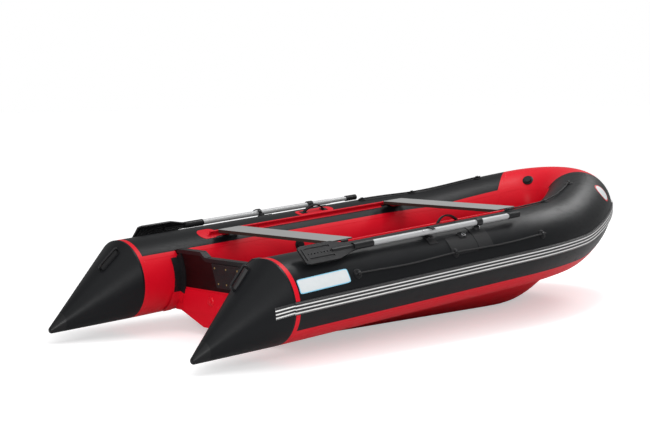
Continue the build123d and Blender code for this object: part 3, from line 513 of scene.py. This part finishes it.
def twin(piece, name):
    copy = piece.copy()
    copy.data = piece.data.copy()
    copy.name = name
    bpy.context.scene.collection.objects.link(copy)
    return copy


domed_head = [(0.0052, -0.001), (0.0052, 0.0006), (0.0045, 0.0017), (0.0030, 0.0024), (0.0014, 0.0026)]
screw = turned_piece("pad_screw", domed_head, 16)
brass = moulding("brass_screw", (0.36, 0.24, 0.10), (0.55, 0.40, 0.18), 0.36, metallic=0.9)
screw.data.materials.append(brass)
board_aft, board_thick, pad_thick = 0.270, 0.038, 0.007
pad_faces = (("outer", board_aft - pad_thick, -1), ("inner", board_aft + board_thick + pad_thick, 1))
screw_rows = ((0.072, 0.098), (-0.014, 0.07056))
screw_spots = [(y, z) for z, half in screw_rows for y in (-half, 0.0, half)]
for number, (y, z) in enumerate(screw_spots):
    for face, x, way in pad_faces:
        one = twin(screw, "%s_pad_screw_%d" % (face, number + 1))
        stand(one, spot(x, y, z), turned(way, 0, 0), 0.4 * number)
        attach(one, "hull")
bpy.data.objects.remove(screw)


# The bottom is red cloth, stretched over the keel and glued to the tubes; a red skirt closes it
# against the transom, with the drain valve in it. Black ribbed guards take the wear on the ground.
red_bottom, tree, shader = plain_material("red_bottom_cloth")
axes = drawing_axes(tree)
off_keel = calc(tree, "ABSOLUTE", axes[1])
keel = between(tree, off_keel, -1.0, 0.022, 0.0006)
chine = between(tree, off_keel, 0.402, 0.440, 0.0006)
cross = between(tree, axes[0], 1.18, 1.216, 0.0006)
tape = calc(tree, "MAXIMUM", keel, calc(tree, "MAXIMUM", chine, cross))
cloth_finish(tree, shader, lambda tone: blend(tree, tone, red_deep, red_cloth), tape)
shader.inputs["Specular IOR Level"].default_value = 0.10
for name in ("hull_bottom", "stern_skirt"):
    dress(name, red_bottom)


def guard_ribs(tree):
    axes = drawing_axes(tree)
    ribs = calc(tree, "SINE", calc(tree, "MULTIPLY", axes[1], 2 * pi / 0.009))
    return ribs, 0.0010


guard_rubber = moulding("guard_rubber", (0.012, 0.012, 0.013), (0.030, 0.029, 0.028), 0.52, relief=guard_ribs)
dress("bottom_guards", guard_rubber)
valve_plastic = moulding("valve_plastic", (0.004, 0.004, 0.005), (0.012, 0.012, 0.013), 0.34)
dress("air_valves", valve_plastic)
dress("drain_valve", moulding("red_valve_plastic", red_deep, red_cloth, 0.38))


# The floor is a stiff deck with a grey non-slip face, laid on the bottom between the tubes.
def tread(tree):
    place = node(tree, "TexCoord").outputs["Object"]
    dots = node(tree, "TexVoronoi", {"Vector": place, "Scale": 210.0}, feature="F1")
    return calc(tree, "SUBTRACT", 1.0, dots.outputs["Distance"]), 0.0006


deck_grey = moulding("non_slip_deck", (0.085, 0.086, 0.090), (0.15, 0.15, 0.155), 0.62, relief=tread)
dress("floor_deck", deck_grey)


# The rubbing strake is a heavy black rubber extrusion along the outside of the tubes, with three
# thin white lines on its face and fine cross ribs below them. It runs on a little over each cone.
strake_deg, strake_wide, strake_thick, strake_face = -2.2, 0.066, 0.0085, 0.009
strake, tree, shader = plain_material("strake_rubber")
along, around = lay_of(tree)
up_face = calc(tree, "SUBTRACT", around, strake_deg)
up_face = calc(tree, "MULTIPLY", up_face, radians(1) * (tube_r + strake_face))
line_half, white = 0.0032, 0.0
for line in (0.0150, -0.0030, -0.0210):
    stripe = between(tree, up_face, line - line_half, line + line_half, 0.0002)
    white = calc(tree, "MAXIMUM", white, stripe)
teeth = calc(tree, "SINE", calc(tree, "MULTIPLY", along, 2 * pi / 0.0085))
tooth_band = between(tree, up_face, -0.031, -0.0240, 0.0005)
toothed = calc(tree, "MULTIPLY", calc(tree, "MULTIPLY_ADD", teeth, 0.5, 0.5), tooth_band)
grooves = calc(tree, "SINE", calc(tree, "MULTIPLY", up_face, 2 * pi / 0.011))
group = node(tree, "Group")
group.node_tree = moulded
rubber = blend(tree, group.outputs["Tone"], (0.010, 0.010, 0.011), (0.022, 0.022, 0.023))
# The crests of the cross ribs are painted light grey on the black rubber: a painted highlight where the ribs
# catch the light.
rubber = blend(tree, calc(tree, "MULTIPLY", toothed, 0.8), rubber, (0.34, 0.34, 0.34))
tree.links.new(blend(tree, white, rubber, (0.80, 0.80, 0.79)), shader.inputs["Base Color"])
tree.links.new(calc(tree, "MULTIPLY_ADD", group.outputs["Tone"], 0.16, 0.36), shader.inputs["Roughness"])
relief = calc(tree, "MULTIPLY_ADD", grooves, 0.35, toothed)
bump = node(tree, "Bump", {"Height": relief, "Strength": 0.9, "Distance": 0.0012})
tree.links.new(bump.outputs[0], shader.inputs["Normal"])
piece = cut_and_laid("rubbing_strake", "rubbing_strake_lined")
piece.data.materials.clear()
piece.data.materials.append(strake)

tail_middle, tail_long, tail_sink = -0.0405, 0.105, 0.16
for side in ("port", "starboard"):
    clear_selection()
    bpy.ops.mesh.primitive_grid_add(x_subdivisions=18, y_subdivisions=12, size=1)
    piece = bpy.context.object
    piece.name = side + "_strake_tail"
    lay = piece.data.attributes.new("lay", "FLOAT_VECTOR", "POINT")
    for v in piece.data.vertices:
        x = tail_middle + v.co.x * tail_long
        level = radians(strake_deg) + v.co.y * strake_wide / (tube_r + strake_face)
        lay.data[v.index].vector = (x, tube_r * cos(level), tube_r * sin(level))
        drop = cone_drop(x)
        r = tube_r - drop + 0.0006
        a = asin((tube_r * sin(level) + tail_sink * min(0.0, x) + drop) / r)
        y = tube_y + r * cos(a)
        v.co = spot(x, y if side == "port" else -y, r * sin(a) - drop)
    if side == "starboard":
        piece.data.flip_normals()
    shell = piece.modifiers.new("thickness", "SOLIDIFY")
    shell.thickness, shell.offset = strake_thick, 1
    bpy.ops.object.modifier_apply(modifier="thickness")
    rounding = piece.modifiers.new("edges", "BEVEL")
    rounding.width, rounding.segments, rounding.limit_method = 0.003, 2, "ANGLE"
    bpy.ops.object.modifier_apply(modifier="edges")
    bpy.ops.object.shade_smooth_by_angle(angle=radians(40))
    piece.data.materials.append(strake)
    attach(piece, "hull")


# The seats slide on red rails: a keder track on a welded strip of red cloth. The strip ends in
# rounded patches, and the carrying handles sit on red patches beside it.
rail_cloth, tree, shader = plain_material("rail_cloth")
cloth_finish(tree, shader, lambda tone: blend(tree, tone, red_deep, (0.66, 0.010, 0.026)))
dress("seat_rails", rail_cloth)


def cut_patch(name, place, size, corner, thick, material, starboard,
              lift=0.0004, cells=(24, 10), skew=0.0):
    """A patch cut flat with rounded corners, then laid round the tube at place, which is its
    length along the tube and its degrees round it, and given its thickness."""
    s, deg = place
    long, wide = size
    clear_selection()
    bpy.ops.mesh.primitive_grid_add(x_subdivisions=cells[0], y_subdivisions=cells[1], size=2)
    piece = bpy.context.object
    piece.name = name
    a, b = long / 2, wide / 2
    for v in piece.data.vertices:
        x, y = v.co.x * a, v.co.y * b
        over_x, over_y = (abs(x) - (a - corner)) / corner, (abs(y) - (b - corner)) / corner
        if over_x > 0 and over_y > 0:
            x += (over_x * (1 - over_y ** 2 / 2) ** 0.5 - over_x) * corner * (1 if x > 0 else -1)
            y += (over_y * (1 - over_x ** 2 / 2) ** 0.5 - over_y) * corner * (1 if y > 0 else -1)
        v.co = on_skin(s + x, deg + degrees((y + skew * x) / tube_r), tube_r + lift, starboard)
    bpy.ops.object.mode_set(mode="EDIT")
    bpy.ops.mesh.select_all(action="SELECT")
    bpy.ops.mesh.normals_make_consistent(inside=False)
    bpy.ops.object.mode_set(mode="OBJECT")
    face = piece.data.polygons[len(piece.data.polygons) // 2]
    x, y, z = unturned(face.center)
    outward = turned(*(Vector((x, abs(y), z)) - middle(s)))
    if starboard:
        outward.y = -outward.y
    if face.normal.dot(outward) < 0:
        piece.data.flip_normals()
    shell = piece.modifiers.new("thickness", "SOLIDIFY")
    shell.thickness, shell.offset = thick, 1
    bpy.ops.object.modifier_apply(modifier="thickness")
    bpy.ops.object.shade_smooth_by_angle(angle=radians(40))
    piece.data.materials.append(material)
    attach(piece, "hull")


for side in ("port", "starboard"):
    far = side == "starboard"
    cut_patch(side + "_rail_end_patch", (0.560, 119.0), (0.135, 0.090), 0.044, 0.0012, rail_cloth,
              far)
    cut_patch(side + "_rail_fore_patch", (2.13, 121.5), (0.15, 0.070), 0.034, 0.0012, rail_cloth,
              far)
    cut_patch(side + "_skirt_tape", (0.236, 223.0), (0.064, 0.165), 0.012, 0.0010, rail_cloth,
              far, lift=0.0078)
    cut_patch(side + "_handle_patch", (1.455, 106.5), (0.30, 0.072), 0.035, 0.0014, rail_cloth,
              far, cells=(30, 10))


# Each seat is a varnished plywood board with a grey rubbed top. Its slides grip the rails.
seat_face, tree, shader = plain_material("seat_board")
place = node(tree, "TexCoord").outputs["Object"]
facing = node(tree, "SeparateXYZ", {0: node(tree, "NewGeometry").outputs["Normal"]}).outputs[2]
upward = node(tree, "MapRange", {0: facing, 1: 0.7, 2: 0.9}).outputs[0]
speck = node(tree, "TexNoise", {"Vector": place, "Scale": 420.0, "Detail": 3, "Roughness": 0.7})
cloud = node(tree, "TexNoise", {"Vector": place, "Scale": 7.0, "Detail": 3})
grey = blend(tree, cloud.outputs["Fac"], (0.30, 0.30, 0.295), (0.35, 0.35, 0.345))
grey = blend(tree, calc(tree, "MULTIPLY", speck.outputs["Fac"], 0.35), grey, (0.25, 0.25, 0.25))
axes = drawing_axes(tree)
plies = calc(tree, "SINE", calc(tree, "MULTIPLY", axes[2], 2 * pi / 0.0045))
brown = blend(tree, calc(tree, "MULTIPLY_ADD", plies, 0.5, 0.5), (0.020, 0.011, 0.008), (0.045, 0.026, 0.018))
tree.links.new(blend(tree, upward, brown, grey), shader.inputs["Base Color"])
tree.links.new(calc(tree, "MULTIPLY_ADD", speck.outputs["Fac"], 0.2, 0.44), shader.inputs["Roughness"])
bump = node(tree, "Bump", {"Height": speck.outputs["Fac"], "Strength": 0.25, "Distance": 0.0004})
tree.links.new(bump.outputs[0], shader.inputs["Normal"])
for name in ("aft_seat_board", "fore_seat_board"):
    dress(name, seat_face)
slide_plastic = moulding("slide_plastic", (0.005, 0.005, 0.006), (0.015, 0.015, 0.016), 0.42)
for name in ("aft_seat_slides", "fore_seat_slides"):
    dress(name, slide_plastic)


# The lifelines are braided black cord, laced through moulded eyes on round rubber pads. The
# handles and the bow's towing eye are moulded too.
rope, tree, shader = plain_material("braided_rope")
axes = drawing_axes(tree)
along = calc(tree, "ADD", axes[0], calc(tree, "MULTIPLY", axes[1], 0.3))
turns = 2 * pi / 0.0042
left_lay = calc(tree, "SINE", calc(tree, "MULTIPLY", calc(tree, "ADD", along, axes[2]), turns))
right_lay = calc(tree, "SINE", calc(tree, "MULTIPLY", calc(tree, "SUBTRACT", along, axes[2]), turns))
braid = calc(tree, "MAXIMUM", left_lay, right_lay)
strands = calc(tree, "MULTIPLY_ADD", braid, 0.5, 0.5)
# The cord's colour follows the braid's height: painted shade, darker in the grooves between the strands and
# lighter on their crests.
cord_groove_shade = blend(tree, strands, (0.004, 0.004, 0.005), (0.015, 0.015, 0.016))
tree.links.new(cord_groove_shade, shader.inputs["Base Color"])
tree.links.new(calc(tree, "MULTIPLY_ADD", braid, 0.08, 0.66), shader.inputs["Roughness"])
bump = node(tree, "Bump", {"Height": braid, "Strength": 0.8, "Distance": 0.0007})
tree.links.new(bump.outputs[0], shader.inputs["Normal"])
dress("lifelines", rope)
eye_rubber = moulding("fitting_rubber", (0.005, 0.005, 0.006), (0.016, 0.016, 0.017), 0.32, grain=700.0)
for name in ("lifeline_eyes", "side_handles", "cone_handles", "tow_eye"):
    dress(name, eye_rubber)


# Each oar has a black moulded blade, a bright anodised tube that telescopes, and a moulded grip.
# Its collar turns on a pin in the rubber base, and a clip holds the blade end when stowed.
oar_metal, tree, shader = plain_material("anodised_tube")
place = node(tree, "TexCoord").outputs["Object"]
drawn = node(tree, "Mapping", {"Vector": place, "Scale": (3, 400, 400)})
streak = node(tree, "TexNoise", {"Vector": drawn.outputs[0], "Scale": 2.0, "Detail": 3})
drawn_tone = blend(tree, streak.outputs["Fac"], (0.44, 0.445, 0.45), (0.55, 0.555, 0.56))
tree.links.new(drawn_tone, shader.inputs["Base Color"])
tree.links.new(calc(tree, "MULTIPLY_ADD", streak.outputs["Fac"], 0.12, 0.42), shader.inputs["Roughness"])
shader.inputs["Metallic"].default_value = 0.25
bump = node(tree, "Bump", {"Height": streak.outputs["Fac"], "Strength": 0.15, "Distance": 0.0002})
tree.links.new(bump.outputs[0], shader.inputs["Normal"])
blade_plastic = moulding("blade_plastic", (0.006, 0.006, 0.007), (0.020, 0.020, 0.021), 0.38, grain=800.0)
grip_rubber = moulding("grip_rubber", (0.005, 0.005, 0.006), (0.015, 0.015, 0.016), 0.48, grain=500.0)
for side in ("port", "starboard"):
    dress(side + "_oar_shaft", oar_metal)
    dress(side + "_oar_inner_shaft", oar_metal)
    dress(side + "_oar_blade", blade_plastic)
    dress(side + "_oar_grip", grip_rubber)
    dress(side + "_oarlock", blade_plastic)
base_rubber = moulding("base_rubber", (0.010, 0.010, 0.011), (0.024, 0.024, 0.025), 0.5, grain=500.0)
dress("oarlock_bases", base_rubber)
dress("oar_clips", eye_rubber)


# Small steel fittings: a ring in a rubber tab on the patch under the oarlock, the button that
# locks the telescopic shaft, and the split ring through the collar.
steel = moulding("fitting_steel", (0.42, 0.42, 0.43), (0.62, 0.62, 0.63), 0.24, grain=1500.0, depth=0.00003,
                 metallic=1.0)


def steel_ring(name, at, way, across, wire, carrier):
    clear_selection()
    bpy.ops.mesh.primitive_torus_add(major_radius=across / 2, minor_radius=wire / 2,
                                     major_segments=36, minor_segments=10)
    piece = bpy.context.object
    piece.name = name
    bpy.ops.object.mode_set(mode="EDIT")
    bpy.ops.mesh.select_all(action="SELECT")
    bpy.ops.transform.resize(value=(1.18, 0.86, 1), center_override=(0, 0, 0))
    bpy.ops.object.mode_set(mode="OBJECT")
    bpy.ops.object.shade_smooth()
    stand(piece, at, way)
    piece.data.materials.append(steel)
    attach(piece, carrier)


shaft_out, shaft_up, shaft_r, button_angle = 0.770, 0.227, 0.0160, radians(50)
button_profile = [(0.0048, -0.002), (0.0048, 0.0010), (0.0040, 0.0024), (0.0022, 0.0031)]
for side in ("port", "starboard"):
    far = side == "starboard"
    sign = -1 if far else 1
    fore = 0.0 if far else 0.112
    oar = side + "_oar"
    cut_patch(side + "_oarlock_patch", (1.293 + fore, 36.0), (0.215, 0.112), 0.012, 0.0022, base_rubber,
              far)
    cut_patch(side + "_ring_tab", (1.325 + fore, 50.0), (0.060, 0.042), 0.018, 0.0040, eye_rubber,
              far, 0.0026)
    seat = on_skin(1.335 + fore, 49.0, tube_r + 0.0095, far)
    outward = (on_skin(1.335 + fore, 49.0, tube_r + 0.1, far) - seat).normalized()
    steel_ring(side + "_tab_ring", seat, (outward + turned(0.2, 0, 0.25)).normalized(), 0.026, 0.0036, "hull")
    collar_foot = spot(1.480 + fore, sign * 0.776, 0.196)
    steel_ring(side + "_collar_ring", collar_foot, turned(0.8, sign * 0.5, 0.2), 0.030, 0.0028, oar)
    button = turned_piece(side + "_snap_button", button_profile, 20)
    way = (0, sign * cos(button_angle), sin(button_angle))
    seat = spot(1.020 + fore, sign * shaft_out + shaft_r * way[1], shaft_up + shaft_r * way[2])
    stand(button, seat, turned(*way))
    button.data.materials.append(steel)
    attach(button, oar)


# A printed film is stuck on each quarter and a round one on the bow, pale with a coloured rim.
# Both are left blank.
def film(name, dark, light):
    made, tree, shader = plain_material(name)
    place = node(tree, "TexCoord").outputs["Object"]
    faded = node(tree, "TexNoise", {"Vector": place, "Scale": 30.0, "Detail": 4})
    tree.links.new(blend(tree, faded.outputs["Fac"], dark, light), shader.inputs["Base Color"])
    tree.links.new(calc(tree, "MULTIPLY_ADD", faded.outputs["Fac"], 0.15, 0.30), shader.inputs["Roughness"])
    ripple = node(tree, "Bump", {"Height": faded.outputs["Fac"], "Strength": 0.2, "Distance": 0.0006})
    tree.links.new(ripple.outputs[0], shader.inputs["Normal"])
    return made


blue_rim = film("film_rim", (0.22, 0.58, 0.80), (0.30, 0.66, 0.85))
pale = film("film_face", (0.64, 0.68, 0.70), (0.74, 0.77, 0.78))
red_rim = film("badge_rim", (0.62, 0.02, 0.03), (0.72, 0.03, 0.04))
quarter, bow_side, film_thick, face_lift = (0.225, 25.0), (2.97, 37.0), 0.0003, 0.0009
for side in ("port", "starboard"):
    far = side == "starboard"
    cut_patch(side + "_label_rim", quarter, (0.350, 0.076), 0.010, film_thick, blue_rim, far,
              0.0004, (20, 8), 0.02)
    cut_patch(side + "_label_face", quarter, (0.340, 0.066), 0.007, film_thick, pale, far,
              face_lift, (20, 8), 0.02)
    cut_patch(side + "_badge_rim", bow_side, (0.130, 0.130), 0.0649, film_thick, red_rim, far,
              0.0004, (20, 20))
    cut_patch(side + "_badge_face", bow_side, (0.112, 0.112), 0.0559, film_thick, pale, far,
              face_lift, (20, 20))
